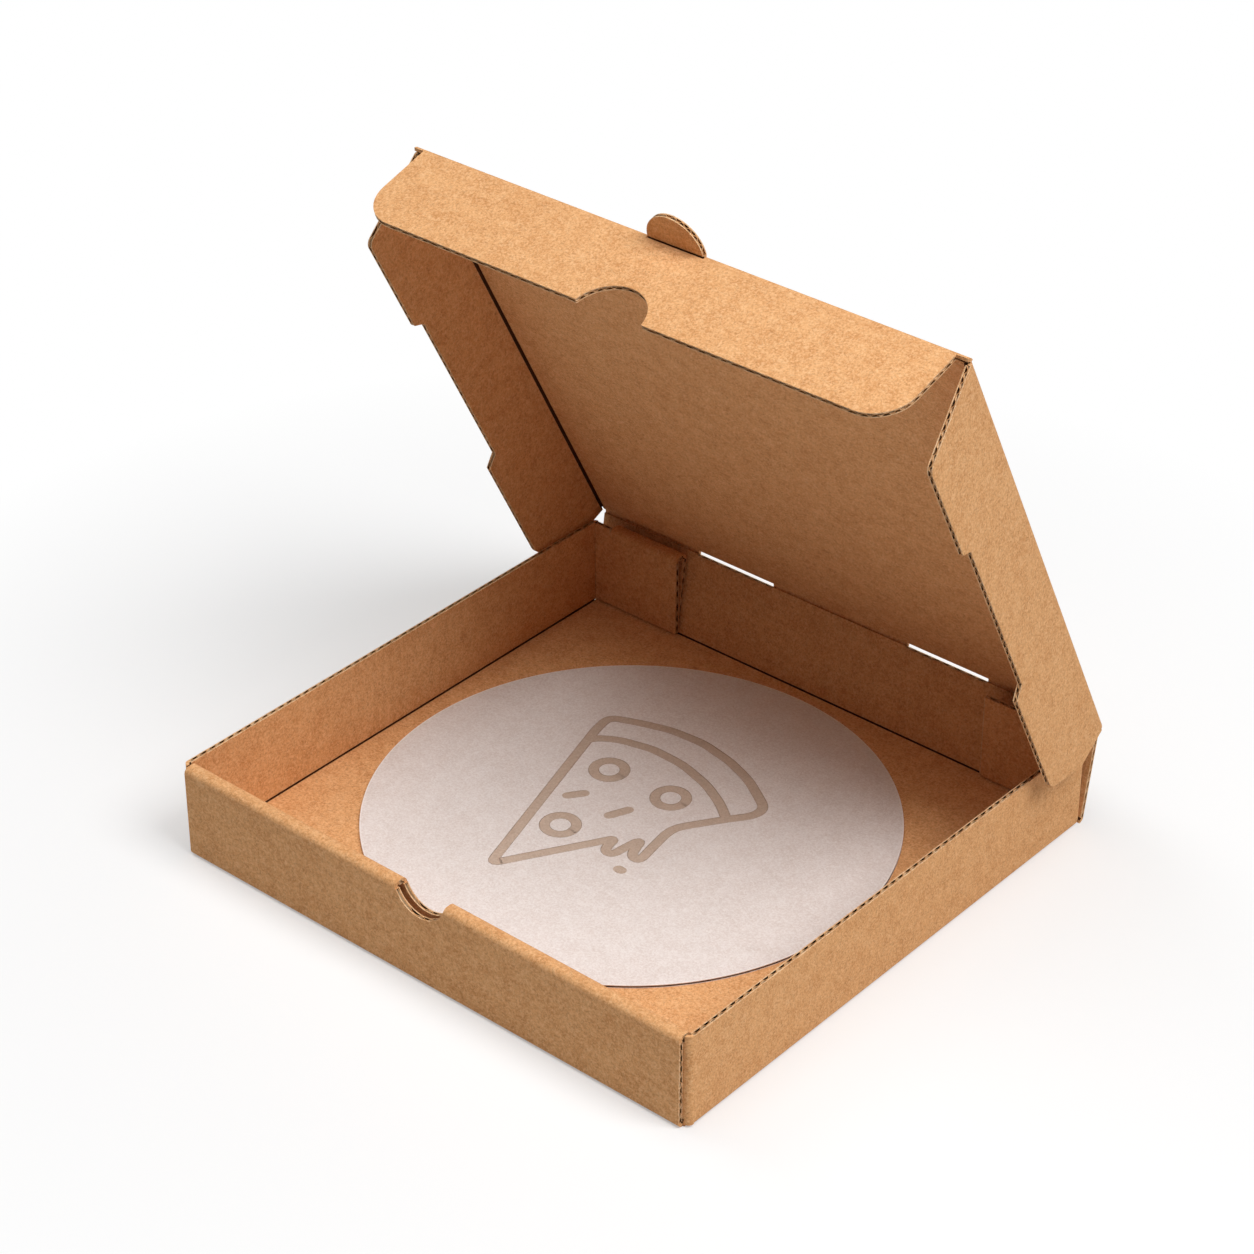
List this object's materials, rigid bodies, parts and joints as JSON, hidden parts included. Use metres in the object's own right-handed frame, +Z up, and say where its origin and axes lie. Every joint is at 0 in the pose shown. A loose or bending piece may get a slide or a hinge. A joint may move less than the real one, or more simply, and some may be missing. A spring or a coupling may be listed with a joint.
{
  "type": "pizza box",
  "caption": "Small corrugated pizza box standing open: tray with a rolled front wall and finger notch, hinged lid with side and front flaps and a thumb tab, round liner on the floor.",
  "frame": {"origin": "middle of the underside of the floor, which is the face the box stands on", "axes": "+Z up, the rolled front wall with the finger notch faces -Y, the lid is hinged along the back at +Y"},
  "size_m": [0.1876, 0.1785, 0.1862],
  "materials": {
    "kraft_board": "matte",
    "liner_card": "matte"
  },
  "bodies": {
    "tray": {"tray": "kraft_board", "liner_disc": "liner_card"},
    "rear_flap_left": {"rear_flap_left": "kraft_board"},
    "rear_flap_right": {"rear_flap_right": "kraft_board"},
    "lid_panel": {"lid_panel": "kraft_board"},
    "lid_front_flap": {"lid_front_flap": "kraft_board"},
    "lid_tab": {"lid_tab": "kraft_board"},
    "lid_left_flap": {"lid_left_flap": "kraft_board"},
    "lid_right_flap": {"lid_right_flap": "kraft_board"}
  },
  "joints": [
    {"name": "lid_hinge", "type": "hinge", "parent": "tray", "child": "lid_panel", "pos_m": [0, 0.09074, 0.03005], "axis": [-1, 0, 0], "range_deg": [-62.7, 115]},
    {"name": "front_flap_hinge", "type": "hinge", "parent": "lid_panel", "child": "lid_front_flap", "pos_m": [0, 0.01529, 0.17623], "axis": [1, 0, 0], "range_deg": [-80, 10]},
    {"name": "tab_hinge", "type": "hinge", "parent": "lid_front_flap", "child": "lid_tab", "pos_m": [0, 0.01529, 0.17623], "axis": [-1, 0, 0], "range_deg": [0, 170]},
    {"name": "right_flap_hinge", "type": "hinge", "parent": "lid_panel", "child": "lid_right_flap", "pos_m": [0.09105, 0.09074, 0.03005], "axis": [0, 0.4587, -0.8886], "range_deg": [-82, 8]},
    {"name": "left_flap_hinge", "type": "hinge", "parent": "lid_panel", "child": "lid_left_flap", "pos_m": [-0.09105, 0.09074, 0.03005], "axis": [0, -0.4587, 0.8886], "range_deg": [-90, 0]},
    {"name": "rear_flap_left_hinge", "type": "hinge", "parent": "tray", "child": "rear_flap_left", "pos_m": [-0.0885, 0.0837, 0], "axis": [0, 0, -1], "range_deg": [0, 75]},
    {"name": "rear_flap_right_hinge", "type": "hinge", "parent": "tray", "child": "rear_flap_right", "pos_m": [0.0885, 0.0837, 0], "axis": [0, 0, 1], "range_deg": [0, 75]}
  ]
}
